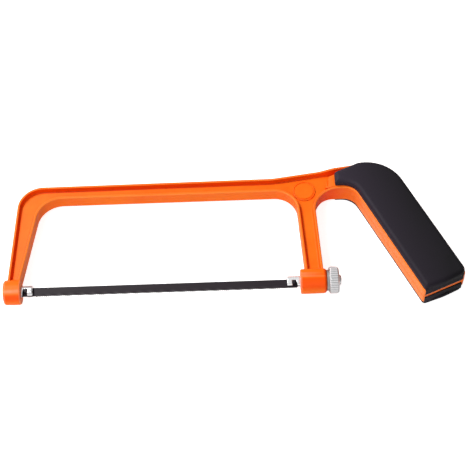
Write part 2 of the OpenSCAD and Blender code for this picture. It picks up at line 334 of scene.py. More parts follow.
def makeFinish(name, look):
    # Two base colours mixed by a cloud, and the rim colour over them by the rim mask. The fine height is a
    # grain, the lathe's rings, or noise drawn out into streaks along x, which then is the cloud as well.
    material, tree, shader = newMaterial(name, look["specular"])
    shader.inputs["Metallic"].default_value = look["metallic"]
    if "streak" in look:
        size, squeeze = look["streak"]
        drawn = addNode(tree, "Mapping", in_Vector=objectCoords(tree), in_Scale=(squeeze, 1, 1)).outputs[0]
        cloud = height = addNode(tree, "TexNoise", in_Vector=drawn, in_Scale=size, in_Detail=4.0).outputs[0]
    else:
        cloud, height = placeGroup(tree, mottle, *look["cloud"]), placeGroup(tree, *look["relief"])
    colour = mixColours(tree, cloud, *look["base"])
    if "rim" in look:
        colour = mixColours(tree, readMask(tree, "rim"), colour, look["rim"])
    wireFinish(tree, shader, colour, cloud, height, look)
    return material


enamel = makeEnamel("orangeEnamel", enamelLook)
# Pinker edge colour for the bosses and the rib: a painted highlight, partly worn paint
wornAndHighlitEnamel = makeEnamel("wornAndHighlitEnamel", {**enamelLook, "edge": (1.0, 0.36, 0.2)})
rubber, bladeBlack, washerMetal, studMetal, nutMetal = (makeFinish(*item) for item in finishLooks.items())

paper = {"half": 3.0, "colour": (0.9, 0.9, 0.9, 1.0), "roughness": 0.9, "mirrored": 0.1, "seen": 0.8}


def makeFloor():
    # White paper: lit plainly for bounced light, topped up to white for the camera and reflections
    material, tree, shader = newMaterial("whitePaper", 0.0)
    ray = addNode(tree, "LightPath").outputs
    mirrored = addMath(tree, "MULTIPLY", ray["Is Glossy Ray"], paper["mirrored"])
    glow = addMath(tree, "MULTIPLY_ADD", ray["Is Camera Ray"], paper["seen"], mirrored)
    for name, value in (("Roughness", paper["roughness"]), ("Base Color", paper["colour"]),
                        ("Emission Color", (1.0, 1.0, 1.0, 1.0)), ("Emission Strength", glow)):
        feed(tree, value, shader.inputs[name])
    half = paper["half"]
    mesh = bpy.data.meshes.new("floor")
    corners = [(-half, -half, 0), (half, -half, 0), (half, half, 0), (-half, half, 0)]
    mesh.from_pydata(corners, [], [(0, 1, 2, 3)])
    mesh.materials.append(material)
    floor = bpy.data.objects.new("floor", mesh)
    scene.collection.objects.link(floor)


makeFloor()
print("room, finishes and floor ready")


# Shared shapes. An outline is clockwise and closed; its corners are (x, y, rounding).

def fade(x, start, width):
    # Climbs from 0 to 1 over the width after start, or before it when the width is negative
    return np.clip((x - start) / width, 0, 1)


def unitRows(v):
    # Each row divided by its length
    return v / np.linalg.norm(v, axis=1, keepdims=True)


def movedCorners(corners, inset):
    # Where the corners land when every side moves inwards by inset, and the directions of the sides by each
    p = np.asarray(corners, float)[:, :2]
    e, f = unitRows(p - np.roll(p, 1, 0)), unitRows(np.roll(p, -1, 0) - p)
    inE, inF = np.c_[e[:, 1], -e[:, 0]], np.c_[f[:, 1], -f[:, 0]]
    return p + (inE + inF) * inset / (1 + np.sum(inE * inF, 1))[:, None], e, f


def cornerLoop(corners, inset=0.0, arcStep=5.0, straightStep=2.5, leastRound=0.05):
    # Straight runs joined by arcs. Every side moves inwards by inset, each arc keeps its centre, and
    # the number of points depends on the corners alone, so insets of one outline match point for point.
    corners = np.asarray(corners, float)
    q, e, f = movedCorners(corners, inset)
    turn = np.arctan2(e[:, 0] * f[:, 1] - e[:, 1] * f[:, 0], np.sum(e * f, 1))
    r = np.maximum(corners[:, 2] + inset * np.sign(turn), leastRound)
    reach = (r * np.tan(np.abs(turn) / 2))[:, None]
    start, end = q - e * reach, q + f * reach
    centre = start + np.c_[-e[:, 1], e[:, 0]] * (np.sign(turn) * r)[:, None]
    runs = np.linalg.norm((np.roll(corners, -1, 0) - corners)[:, :2], axis=1)
    parts = []
    for i in range(len(corners)):
        steps = max(2, int(np.ceil(abs(np.degrees(turn[i])) / arcStep)))
        a = np.linspace(0, turn[i], steps + 1)
        x, y = start[i] - centre[i]
        parts.append(centre[i] + np.c_[x * np.cos(a) - y * np.sin(a), x * np.sin(a) + y * np.cos(a)])
        t = np.linspace(0, 1, int(np.ceil(runs[i] / straightStep)) + 1)[1:-1, None]
        parts.append(end[i] + (start[(i + 1) % len(corners)] - end[i]) * t)
    return np.concatenate(parts)


def meet(a, b, c, d):
    # Where the line through a and b crosses the line through c and d
    a, b, c, d = (np.asarray(v, float) for v in (a, b, c, d))
    u, v = b - a, d - c
    t = ((c - a)[0] * v[1] - (c - a)[1] * v[0]) / (u[0] * v[1] - u[1] * v[0])
    return a + u * t


def gridFaces(rows, cols, flip=False, wrapRows=False, start=0):
    # Quads of a grid whose columns close on themselves
    r = np.arange(rows if wrapRows else rows - 1)[:, None]
    c = np.arange(cols)[None, :]
    below, beside = (r + 1) % rows, (c + 1) % cols
    quads = [r * cols + c, r * cols + beside, below * cols + beside, below * cols + c]
    quads = np.stack(quads, -1).reshape(-1, 4) + start
    return (quads[:, ::-1] if flip else quads).tolist()


def insideLoop(points, loop):
    # Even-odd test of many points against one closed outline
    x, y = points[:, :1], points[:, 1:2]
    x0, y0 = loop[:, 0], loop[:, 1]
    x1, y1 = np.roll(x0, -1), np.roll(y0, -1)
    crosses = (y0 > y) != (y1 > y)
    level = np.where(y1 == y0, 1.0, y1 - y0)
    return (np.sum(crosses & (x < (x1 - x0) * (y - y0) / level + x0), 1) % 2).astype(bool)


def bowedLoop(loop, side, bow=0.03):
    # The same outline with each straight run bent a hair towards the filled side, so that no three
    # points stand in line: the shift along the normal is bow s (1 - s), with s from 0 to 1 over the run
    e = unitRows(np.roll(loop, -1, 0) - loop)
    before = np.roll(e, 1, 0)
    firm = np.flatnonzero(np.abs(before[:, 0] * e[:, 1] - before[:, 1] * e[:, 0]) > 1e-6)
    firm = np.r_[firm, len(loop)]
    k = np.arange(len(loop))
    left, right = firm[np.searchsorted(firm, k, side="right") - 1], firm[np.searchsorted(firm, k)]
    s = (k - left) / np.maximum(right - left, 1)
    return loop + np.c_[e[:, 1], -e[:, 0]] * (side * bow * s * (1 - s))[:, None]


def fillLoops(loops, inner=None):
    # Triangles between closed outlines (the later ones are holes), by a constrained Delaunay mesh
    loops = [bowedLoop(loop, -1 if i else 1) for i, loop in enumerate(loops)]
    points = np.concatenate(loops if inner is None else [*loops, inner])
    edges, base = [], 0
    for loop in loops:
        k = np.arange(len(loop))
        edges += np.c_[base + k, base + (k + 1) % len(loop)].tolist()
        base += len(loop)
    found = delaunay_2d_cdt([tuple(p) for p in points], edges, [], 0, 1e-7)
    spots, tris = np.array([tuple(v) for v in found[0]]), np.array(found[2])
    given = np.array([k[0] if k else -1 for k in found[3]])
    middle = spots[tris].mean(1)
    keep = insideLoop(middle, loops[0])
    for hole in loops[1:]:
        keep &= ~insideLoop(middle, hole)
    tris = given[tris[keep]]
    if (tris < 0).any():
        raise ValueError("an outline crosses itself")
    a, b, c = points[tris[:, 0]], points[tris[:, 1]], points[tris[:, 2]]
    turn = (b - a)[:, 0] * (c - a)[:, 1] - (b - a)[:, 1] * (c - a)[:, 0]
    tris[turn < 0] = tris[turn < 0][:, ::-1]
    return tris


def loopRow(loop, z):
    # One outline at a height, or at a height for each of its points
    return np.c_[loop, np.broadcast_to(z, len(loop))]


def closedStack(corners, profile):
    # Solid through a stack of insets of one outline: (inset, z) rows from the top down, capped at both ends
    rows = [loopRow(cornerLoop(corners, inset), z) for inset, z in profile]
    n, last = len(rows[0]), (len(rows) - 1) * len(rows[0])
    top, bottom = fillLoops([rows[0][:, :2]]), fillLoops([rows[-1][:, :2]])
    return np.concatenate(rows), gridFaces(len(rows), n) + top.tolist() + (bottom[:, ::-1] + last).tolist()


def joinParts(parts):
    # Several (points, faces) pairs as one
    points, faces, total = [], [], 0
    for spots, polygons in parts:
        points.append(spots)
        faces += [[k + total for k in polygon] for polygon in polygons]
        total += len(spots)
    return np.concatenate(points), faces


def turnedFaces(faces):
    # Every face the other way round, for mirrored points
    return [face[::-1] for face in faces]


def roundedProfile(corners, steps=5):
    # Open run of (radius, along, rounding) corners with each inner corner turned into an arc
    corners = np.asarray(corners, float)
    out = [corners[:1, :2]]
    for before, here, after in zip(corners[:-2], corners[1:-1], corners[2:]):
        p = here[:2]
        if here[2] == 0:
            out.append(p[None])
            continue
        u, v = unitRows(np.array([before[:2] - p, after[:2] - p]))
        half = np.arccos(np.clip(u @ v, -1, 1)) / 2
        reach = here[2] / np.tan(half)
        centre = p + (u + v) / np.linalg.norm(u + v) * here[2] / np.sin(half)
        a, b = p + u * reach - centre, p + v * reach - centre
        t = np.linspace(0, 1, steps + 1)[:, None]
        whole = np.pi - 2 * half
        out.append(centre + (np.sin((1 - t) * whole) * a + np.sin(t * whole) * b) / np.sin(whole))
    out.append(corners[-1:, :2])
    return np.concatenate(out)


def spinProfile(profile, steps, axis, centre=(0, 0, 0), closedProfile=False, radiusAt=None, flip=False):
    # Surface of revolution: profile rows are (radius, distance along the axis), and radiusAt may change each
    # row's radius with the angle. A first or last row of radius 0 becomes one point with a fan of triangles.
    profile = np.asarray(profile, float)
    angle = np.linspace(0, 2 * np.pi, steps, endpoint=False)[None, :]
    radius, along = (np.repeat(column[:, None], steps, 1) for column in profile.T)
    if radiusAt is not None:
        radius = radiusAt(radius, angle, profile[:, 1:2])
    c, s = radius * np.cos(angle), radius * np.sin(angle)
    grid = np.stack([along, c, s] if axis == "x" else [c, s, along], -1) + centre
    first, last = int(profile[0, 0] == 0), int(profile[-1, 0] == 0)
    inner = grid[first:len(profile) - last]
    points = inner.reshape(-1, 3)
    faces = gridFaces(len(inner), steps, flip, closedProfile)
    k = np.arange(steps)
    for pole, row, turned in ((first, 0, flip), (last, len(inner) - 1, not flip)):
        if pole:
            fan = np.c_[np.full(steps, len(points)), (k + 1) % steps + row * steps, k + row * steps]
            faces += (fan[:, ::-1] if turned else fan).tolist()
            points = np.concatenate([points, grid[0 if row == 0 else -1, :1]])
    return points, faces


def makePiece(name, points, faces, material, slot, body, replaces=(), flat=False, **masks):
    # One named mesh from saw coordinates, with its masks, that rides on its body
    mesh = bpy.data.meshes.new(name)
    mesh.from_pydata(toMetres(points).tolist(), [], faces)
    mesh.polygons.foreach_set("use_smooth", np.full(len(mesh.polygons), not flat))
    for mask, values in masks.items():
        layer = mesh.attributes.new(mask, "FLOAT", "POINT")
        layer.data.foreach_set("value", np.asarray(values, np.float32).ravel())
    mesh.materials.append(material)
    mesh.validate()
    piece = bpy.data.objects.new(name, mesh)
    scene.collection.objects.link(piece)
    if not flat:
        weighted = piece.modifiers.new("evenNormals", "WEIGHTED_NORMAL")
        weighted.mode, weighted.weight, weighted.keep_sharp = "FACE_AREA", 60, False
    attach(piece, body)
    if replaces:
        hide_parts(*replaces)
    print(name, len(mesh.polygons), "faces")


# The casting's plan
plan = {
    "throat": 59.0, "barHeight": 8.6, "barThick": 9.0, "coreThick": 12.4, "webThick": 2.4, "flange": 1.5,
    "rampRise": 7.5, "rake": 64.5, "handleWide": 27.2, "handleLong": 79.0, "heelSlant": 1.3,
    "backRound": 23.5, "footHigh": 3.6, "recessFoot": 4.8, "thickFrom": 168.5, "gripFront": 176.8,
    "panelBorder": 3.2, "noseAlong": 50.2, "noseHigh": 9.2,
}
wide = plan["handleWide"]
topY = plan["throat"] + plan["barHeight"]
rise, rake = np.radians([plan["rampRise"], plan["rake"]])
rampStart = np.array([141.0, topY])
rampDir = np.array([np.cos(rise), np.sin(rise)])
fingerCorner = np.array([187.5, plan["throat"] - 1])
alongHandle = np.array([np.cos(rake), -np.sin(rake)])
acrossHandle = np.array([np.sin(rake), np.cos(rake)])


def onHandle(u, v):
    # The finger corner plus u along the handle and v across it
    return fingerCorner + alongHandle * u + acrossHandle * v


def handlePlace(points):
    # The other way round: distances along and across the handle from its finger corner
    fromCorner = points[:, :2] - fingerCorner
    return fromCorner @ alongHandle, fromCorner @ acrossHandle


def endOf(v):
    # The handle's end leans evenly, from the finger side to the back
    return plan["handleLong"] + plan["heelSlant"] * v / wide


def backLine(v):
    # The point on the ramp's line that lies v across the handle
    return rampStart + rampDir * (v - (rampStart - fingerCorner) @ acrossHandle) / (rampDir @ acrossHandle)


def footOf(x, corner):
    # Where a leg stops inside its boss, on the line from (x, 0) to the corner above
    return [x + (corner[0] - x) * plan["footHigh"] / corner[1], plan["footHigh"], 0.3]


frontAt, postAt = [6.5, plan["throat"]], [153.9, plan["throat"] - 0.7]
archAt = [164.8, fingerCorner[1] - 0.5]
castingCorners = [
    footOf(-10.7, [-6.4, topY]), [-6.4, topY, 14.6],                     # front leg, outer side
    [*rampStart, 40], [*backLine(wide), plan["backRound"]],              # bar, ramp and the handle's back
    [*onHandle(endOf(wide), wide), 3], [*onHandle(endOf(0) - 0.02, 0), 1.3],
    [*fingerCorner, 9], [*archAt, 12.5],                                 # finger side and arch
    footOf(167.3, archAt), footOf(156.9, postAt), [*postAt, 13],         # post
    [*frontAt, 14.5], footOf(-4.0, frontAt),                             # front leg, inner side
]


def castingHalf(x):
    # Half thickness: thin along the C, rising evenly to the handle's thickness
    t = fade(x, plan["thickFrom"], plan["gripFront"] - plan["thickFrom"])
    return plan["barThick"] / 2 + (plan["coreThick"] - plan["barThick"]) / 2 * t


def recessCorners():
    # The casting's outline moved in by the flange, cut off above the bosses and at the handle's panel
    moved = movedCorners(castingCorners, plan["flange"])[0]
    border, noseX = plan["gripFront"] - plan["panelBorder"], rampStart[0] + rampDir[0] * plan["noseAlong"]
    panelY = fingerCorner[1] + plan["noseHigh"]

    def foot(i, k):
        # Where the side from corner i to k meets the recess's lower end
        return [*meet(moved[i], moved[k], (0, plan["recessFoot"]), (1, plan["recessFoot"])), 0.6]

    return [
        foot(0, 1), [*moved[1], 13.1], [*moved[2], 41.5],
        [*meet(moved[2], moved[3], (noseX, 0), (noseX, 1)), 0.3],
        [plan["gripFront"], panelY, 1.5], [border, panelY - 1, 1.5],
        [*meet(moved[6], moved[7], (border, 0), (border, 1)), 2.0], [*moved[7], 14.0],
        foot(7, 8), foot(9, 10), [*moved[10], 14.5], [*moved[11], 16.0], foot(11, 12),
    ]


rib = {"thick": 1.3, "gap": 0.95, "heelLand": 2.4, "toeLand": 0.9, "slotDepth": 1.8, "slotLand": 0.6,
       "reach": 2.5, "short": 0.25, "round": 0.25, "more": 0.2}
trim = {"round": 0.6, "draft": 0.16, "worn": 0.35, "rimRound": 0.4, "recessDraft": 0.25, "fillet": 0.9,
        "seam": 0.1, "seamHalf": 0.16, "seamBase": 0.3, "panelGrid": ((167.2, 178.2), (54.0, 76.0), 1.1)}
# tone: rim levels (paler edges, a painted highlight that is partly worn paint) and strengths of painted
# shade
tone = {"worn": 0.15, "seam": 0.25, "archFrom": 161, "archTo": 183, "archFade": 21, "postFrom": 12,
        "postFade": 30, "fingerFrom": 181, "fingerFade": 14, "fingerHighlight": 1.2, "panelCrest": 0.3,
        "panelShade": 0.15, "panelReach": 6, "panelTop": 68, "postX": (150, 160), "postTop": 52,
        "postShade": 0.6, "postBackShade": 0.15}
slotTop = rib["thick"] / 2 + rib["gap"] + 0.5


def castingSides():
    # Rows from the near face's edge to the far one, each a loop with the level of its rim mask: a
    # quarter-round edge, a drafted side, the raised seam. Beside the rib the rows are pushed into the
    # handle's end, which leaves a dark slot between rib and hooks.
    e, draft, halfRib = trim["round"], trim["draft"], rib["thick"] / 2
    phi = np.radians(np.linspace(0, 90, 6))
    # The edge rows set the rim mask to 1: paler rounded edges, a painted highlight that is partly worn paint
    edge = [(draft + e * (1 - np.sin(a)), e * (np.cos(a) - 1), 1.0) for a in phi]
    edge[0] = (*edge[0][:2], tone["worn"])
    edge.append((draft - 0.01, -e - trim["worn"], 0.0))
    side = [(slotTop + 0.3, False), (slotTop, True), (halfRib - 0.15, True), (halfRib - 0.3, False),
            (trim["seamBase"], False)]
    sideLoop, seamLoop = cornerLoop(castingCorners, trim["seam"]), cornerLoop(castingCorners, 0)
    u, v = handlePlace(sideLoop)
    atEnd = (u > endOf(v) - 0.5) & (v > rib["toeLand"])
    atEnd &= v < wide - rib["heelLand"] - rib["slotLand"]
    pushedLoop = sideLoop - alongHandle * (atEnd * rib["slotDepth"])[:, None]
    rows = []
    for sign in (1, -1):
        half = []
        for inset, drop, level in edge:
            loop = cornerLoop(castingCorners, inset)
            half.append((loopRow(loop, sign * (castingHalf(loop[:, 0]) + drop)), level))
        half += [(loopRow(pushedLoop if pushed else sideLoop, sign * z), 0.0) for z, pushed in side]
        half.append((loopRow(seamLoop, sign * trim["seamHalf"]), tone["seam"]))
        rows += half[::sign]
    return zip(*rows)


def sideTones(points, rim):
    # rim: the handle's finger side is painted paler below the arch, a painted highlight. hollow:
    # painted shade under the arch, fading towards the finger side and down the post, and dark in the rib's
    # slot and along the parting seam.
    u, v = handlePlace(points)
    x, y, z = points.T
    underArch = (x > tone["archFrom"]) & (v < 6) & (y < fingerCorner[1] + 1.5) & (rim < 0.5)
    arch = fade(x, tone["archTo"], -tone["archFade"])
    post = fade(y, tone["postFrom"], tone["postFade"])
    onSeam = (rim == tone["seam"]) & (u > 8) & (v < 2)
    inSlot = np.abs(u - endOf(v) + rib["slotDepth"]) < 0.3
    inSlot &= (np.abs(z) < slotTop + 0.05) & (v > 0.4) & (v < wide - 1)
    onFingerSide = (v < 2) & (rim == 0) & (x > tone["fingerFrom"])
    paintedSheen = tone["fingerHighlight"] * fade(u, -2, tone["fingerFade"])
    return np.where(onFingerSide, paintedSheen, rim), np.where(inSlot | onSeam, 1.0, arch * post * underArch)


def recessWall(corners, side):
    # Rows down one recess: a rounded rim, a wall that leans in, and a fillet into the web. Its masks are a
    # lighter crest (painted highlight, partly worn paint) and painted shade on the wall below it, both
    # weaker at the handle's panel and on the post.
    rr, fillet, lean = trim["rimRound"], trim["fillet"], trim["recessDraft"]
    quarter = np.radians(np.linspace(0, 90, 5))
    rows = []
    for a in quarter:
        loop = cornerLoop(corners, -rr * (1 - np.sin(a)))
        rows.append(loopRow(loop, side * (castingHalf(loop[:, 0]) - rr * (1 - np.cos(a)))))
    for a in quarter:
        loop = cornerLoop(corners, lean + fillet * (1 - np.cos(a)))
        rows.append(loopRow(loop, side * (plan["webThick"] / 2 + fillet * (1 - np.sin(a)))))
    x, y = loop.T
    atPanel = (x > plan["gripFront"] - tone["panelReach"]) & (y < tone["panelTop"])
    atPanel &= y > fingerCorner[1] + 1.5
    postFrom, postMiddle = tone["postX"]
    onPost = (x > postFrom) & (y < tone["postTop"])
    # crest: level of the painted highlight on the rim; depth: strength of the painted shade on the wall
    crest = np.where(atPanel, tone["panelCrest"], 1.0)
    depth = np.where(onPost, np.where(x > postMiddle, tone["postBackShade"], tone["postShade"]), 1.0)
    depth = np.where(atPanel, tone["panelShade"], depth)
    rim = np.outer([tone["worn"]] + [1.0] * 3 + [0.0] * (len(rows) - 4), crest).ravel()
    hollow = np.outer([0.0] * 4 + [1.0] * (len(rows) - 5) + [0.0], depth).ravel()
    return rows, rim, hollow


def makeCasting():
    # One closed shell: the sides, flat faces between plan and recess, and the two recesses with
    # the web's faces. Inner points let the flat face climb to the handle's thickness.
    rows, levels = castingSides()
    count, corners = len(rows[0]), recessCorners()
    rim, hollow = sideTones(np.concatenate(rows), np.repeat(levels, count))
    parts, rims, hollows = [np.concatenate(rows)], [rim], [hollow]
    faces, total = gridFaces(len(rows), count), len(rows) * count

    flatEdge = trim["draft"] + trim["round"]
    xSpan, ySpan, step = trim["panelGrid"]
    gx, gy = np.meshgrid(np.arange(*xSpan, step), np.arange(*ySpan, step))
    inner = np.c_[gx.ravel(), gy.ravel()]
    inner = inner[insideLoop(inner, cornerLoop(castingCorners, flatEdge + 0.7))
                  & ~insideLoop(inner, cornerLoop(corners, -trim["rimRound"] - 0.7))]
    flat = fillLoops([cornerLoop(castingCorners, flatEdge), cornerLoop(corners, -trim["rimRound"])], inner)
    web = fillLoops([cornerLoop(corners, trim["recessDraft"] + trim["fillet"])])
    for side in (1, -1):
        wall, rim, hollow = recessWall(corners, side)
        n, size = len(wall[0]), len(wall) * len(wall[0])
        parts += [*wall, loopRow(inner, side * castingHalf(inner[:, 0]))]
        rims += [rim, np.zeros(len(inner))]
        hollows += [hollow, np.zeros(len(inner))]
        edgeRow = 0 if side > 0 else (len(rows) - 1) * count
        lookUp = np.r_[np.arange(count) + edgeRow, np.arange(n) + total,
                       np.arange(len(inner)) + total + size]
        faces += gridFaces(len(wall), n, flip=side > 0, start=total)
        for triangles in (lookUp[flat], web + total + size - n):
            faces += (triangles if side > 0 else triangles[:, ::-1]).tolist()
        total += size + len(inner)
    makePiece("castingBody", np.concatenate(parts), faces, enamel, "frame_paint", "frame",
              replaces=["frame_casting"], rim=np.concatenate(rims), hollow=np.concatenate(hollows))


makeCasting()
print("casting ready")

boss = {"radius": 7.0, "drop": 0.2, "bore": 3.16, "boreRound": 0.25, "socket": 1.5, "steps": 180,
        "front": (-12.4, -2.6), "frontRound": (1.5, 0.9), "rear": (153.8, 168.6), "rearRound": (0.8, 2.0),
        "flatHigh": 6.66, "flatFrom": 97.0, "slope": 32.0}
# The shade bands, flatShade and backShade are painted shade; crestHighlight and flatEdge are painted
# highlights; worn is a paler rim, partly painted highlight
bossTone = {"frontShadeBand": (127.0, 178.0), "rearShadeBand": (99.0, 172.0), "depth": 0.45, "fadeIn": 8.0,
            "fadeOut": 25.0, "worn": 0.4, "wornFrom": 1.4, "litRimLong": 4.0, "backShade": (1.9, 1.2),
            "crestHighlight": (0.75, 13.0, 9.0), "flatEdge": (0.2, 1.0, 3.5), "flatShade": (0.3, 12.0, 4.0)}


def makeBosses():
    # Turned bosses with soft rims; the bore in each face is a short socket round the stud. Angles turn
    # from +y towards +z. The rear boss is squared up beside the post, to a flat on its +z side that ends
    # in a small step. Painted shade darkens the enamel between two angles, the rims are paler (painted
    # highlight, partly worn paint), and a painted highlight line lies just before the shade band.
    r, bore, socket, boreRound = boss["radius"], boss["bore"], boss["socket"], boss["boreRound"]
    x0, x1 = boss["front"]
    left, right = boss["frontRound"]
    front = roundedProfile([[0, x0, 0], [r, x0, left], [r, x1, right], [bore, x1, boreRound],
                            [bore, x1 - socket, 0], [0, x1 - socket, 0]], 6)
    x0, x1 = boss["rear"]
    left, right = boss["rearRound"]
    rear = roundedProfile([[bore, x0 + socket, 0], [bore, x0, boreRound], [r, x0, left], [r, x1, right],
                           [bore, x1, boreRound], [bore, x1 - socket, 0]], 7)

    # Section of the rear boss between the slope's angle and the step: the smaller of the tangent's
    # r / cos(a - slope) and the flat's height / sin(a)
    degrees = np.linspace(0, 360, boss["steps"], endpoint=False)
    a = np.radians(degrees)
    sloped = r / np.maximum(np.cos(a - np.radians(boss["slope"])), 0.2)
    flat = np.minimum(boss["flatHigh"] / np.maximum(np.sin(a), 0.2), sloped)
    inFlat = (degrees > boss["slope"]) & (degrees < boss["flatFrom"])
    section = np.maximum(np.where(inFlat, np.minimum(flat, 9.0), r), boss["flatHigh"])

    def flattened(radius, angle, along):
        # The bore keeps its radius, the outside follows the section
        return radius + (section[None, :] - r) * fade(radius, bore, r - bore)

    def line(turn, angle, setting):
        # level x exp(-((turn - at) / width)^2), with at so many degrees before the angle
        level, before, width = setting
        return level * np.exp(-((turn - (angle - before)) / width) ** 2)

    for name, profile, shape, deep in (("frontBoss", front, None, bossTone["frontShadeBand"]),
                                       ("rearBoss", rear, flattened, bossTone["rearShadeBand"])):
        centreY, isRear = -boss["drop"], name == "rearBoss"
        points, faces = spinProfile(profile, boss["steps"], "x", (0, centreY, 0), isRear, shape)
        fromAxis = np.hypot(points[:, 1] - centreY, points[:, 2])
        points[:, 1] += boss["drop"] * fade(fromAxis, r, bore - r)  # puts the bore on the stud's axis
        turn = np.degrees(np.arctan2(points[:, 2], points[:, 1] - centreY))
        # Paler rims, a painted highlight partly worn paint; the band between the two angles is painted shade
        rim = ((fromAxis > r - bossTone["wornFrom"]) & (fromAxis < r - 0.02)) * bossTone["worn"]
        inBand = fade(turn, deep[0], bossTone["fadeIn"]) * fade(turn, deep[1], -bossTone["fadeOut"])
        hollow = bossTone["depth"] * inBand
        if isRear:
            # Rear boss: the paler rim only on its front end, a painted highlight line at the step with
            # painted shade below it, and painted shade on the back end, which faces away from the key lamp
            outer = fromAxis > bore + 1
            rim = rim * (points[:, 0] < boss["rear"][0] + bossTone["litRimLong"])
            rim = np.maximum(rim, outer * line(turn, boss["flatFrom"], bossTone["flatEdge"]))
            hollow = np.maximum(hollow, outer * line(turn, boss["flatFrom"], bossTone["flatShade"]))
            back, width = bossTone["backShade"]
            hollow = np.maximum(hollow, fade(points[:, 0], boss["rear"][1] - back, width))
        else:
            # Front boss: a painted highlight line just before the painted shade band
            rim = np.maximum(rim, (fromAxis > r - 0.5) * line(turn, deep[0], bossTone["crestHighlight"]))
        makePiece(name, points, faces, wornAndHighlitEnamel, "frame_paint", "frame", rim=rim, hollow=hollow)


makeBosses()

pad = {"at": (159.3, 59.4), "radius": 6.5, "rise": 0.9, "groove": (5.35, 6.05), "depth": 0.5,
       "wall": 0.12, "sunk": 0.3, "worn": 0.35}


def makePads():
    # Raised round pad on each side of the web, with a shallow ring groove near its rim
    face = plan["webThick"] / 2
    top, low, r = face + pad["rise"], face - pad["sunk"], pad["radius"]
    bottom, wall, (inner, outer) = top - pad["depth"], pad["wall"], pad["groove"]
    profile = roundedProfile([
        [0, top, 0], [inner, top, 0.15], [inner + wall, bottom, 0.1], [outer - wall, bottom, 0.1],
        [outer, top, 0.12], [r, top, 0.45], [r + 0.1, low, 0], [0, low, 0]], 4)
    for name, side in (("padNear", 1), ("padFar", -1)):
        points, faces = spinProfile(profile * [1, side], 72, "z", (*pad["at"], 0), flip=side > 0)
        fromAxis = np.linalg.norm(points[:, :2] - pad["at"], axis=1)
        # Paler outer ring: a painted highlight, partly worn paint
        worn = (fromAxis > r - pad["worn"]) * 0.5
        makePiece(name, points, faces, enamel, "frame_paint", "frame", rim=worn)


makePads()


def endCorners(heelLand, toeLand, shift=0.0):
    # Outline of a block in the handle's end, whose outer side follows the heel's round corner up to the land
    heelRound, reach = castingCorners[4][2], rib["reach"]
    theta = np.linspace(np.arcsin((heelRound - heelLand) / heelRound), 0, 2)
    across = wide - heelRound * (1 - np.sin(theta))
    arc = [[*onHandle(endOf(v) + shift - heelRound * (1 - np.cos(a)), v), 0.05]
           for v, a in zip(across, theta)]
    arc[0][2] = 0.2
    return [[*onHandle(endOf(wide) - reach, wide - heelLand), 0.2], *arc,
            [*onHandle(endOf(toeLand) + shift, toeLand), 0.2],
            [*onHandle(endOf(toeLand) - reach, toeLand), 0.2]]


def makeEndRib():
    # Thin middle rib that shows between the two grips at the handle's end, just short of their faces
    more = rib["more"]
    corners = endCorners(rib["heelLand"] - more, rib["toeLand"] - more, -rib["short"])
    phi = np.radians(np.linspace(0, 90, 4))
    inset, drop = rib["round"] * (1 - np.sin(phi)), rib["round"] * (1 - np.cos(phi))
    half = rib["thick"] / 2
    points, faces = closedStack(corners, np.r_[np.c_[inset, half - drop], np.c_[inset, drop - half][::-1]])
    # The rim mask is 1 all over: the whole rib takes the pale edge colour, a painted highlight
    makePiece("endRib", points, faces, wornAndHighlitEnamel, "frame_paint", "frame", rim=np.ones(len(points)))


makeEndRib()
print("bosses, pads and rib ready")

grip = {"thick": 4.3, "round": 3.1, "roll": 2.9, "power": 0.8, "proud": 0.4, "footRound": 0.2,
        "lift": 0.22, "hookRound": 0.35, "hookDeep": 1.5, "paintedSheen": 0.8, "paintedSheenAcross": 0.82,
        "paintedSheenAlong": 0.3}


def gripCorners(proud):
    # Cover's outline: from the panel's edge round the handle, with its end bowed out a little
    nose, edgeX = rampStart + rampDir * plan["noseAlong"] - [0, 0.7], plan["gripFront"]
    return [
        [edgeX, fingerCorner[1] + 1, 1.2], [edgeX, fingerCorner[1] + plan["noseHigh"], 2], [*nose, 3],
        [*backLine(wide), plan["backRound"]], [*onHandle(endOf(wide) + proud - 0.1, wide), 4.5],
        [*onHandle(endOf(wide / 2) + proud + 0.55, wide / 2), 25],
        [*onHandle(endOf(0.3) + proud - 0.3, 0.3), 2.6], [*onHandle(-1, 0.3), 10],
    ]


def makeGrips():
    # Each grip: a cover with a broad round edge, inset r (1 - sin^p) and drop roll (1 - cos^p),
    # and a hook that closes the pocket in the handle's end. The paintedSheen mask, a greyer painted sheen,
    # falls off evenly across and along the handle.
    base, proud, power = plan["coreThick"] / 2, grip["proud"], grip["power"]
    phi, foot = np.radians(np.linspace(0, 90, 14)), np.radians(np.linspace(0, 90, 3))
    inset = proud + grip["round"] * (1 - np.sin(phi) ** power)
    top = base + grip["thick"] - grip["roll"] * (1 - np.cos(phi) ** power)
    footInset = proud + grip["footRound"] * (1 - np.cos(foot))
    footZ = base + grip["lift"] - grip["footRound"] * np.sin(foot)
    cover = closedStack(gripCorners(proud), np.r_[np.c_[inset, top], np.c_[footInset, footZ]])
    hookRound, low = grip["hookRound"], rib["thick"] / 2 + rib["gap"]
    hookEdge = np.c_[hookRound * (1 - np.cos(foot)), low + hookRound - hookRound * np.sin(foot)]
    hookCorners = endCorners(rib["heelLand"], rib["toeLand"])
    hook = closedStack(hookCorners, np.r_[[[0.0, base + grip["hookDeep"]]], hookEdge])
    points, faces = joinParts([cover, hook])
    u, v = handlePlace(points)
    along, across = grip["paintedSheenAlong"] * u / plan["handleLong"], grip["paintedSheenAcross"] * v / wide
    paintedSheen = np.clip(grip["paintedSheen"] - across - along, 0, 1)
    for name, node, side in (("nearGrip", "upper_grip", 1), ("farGrip", "lower_grip", -1)):
        outward = faces if side > 0 else turnedFaces(faces)
        makePiece(name, points * [1, 1, side], outward, rubber, "grip_rubber", "frame", replaces=[node],
                  rim=paintedSheen)


makeGrips()
print("grips ready")

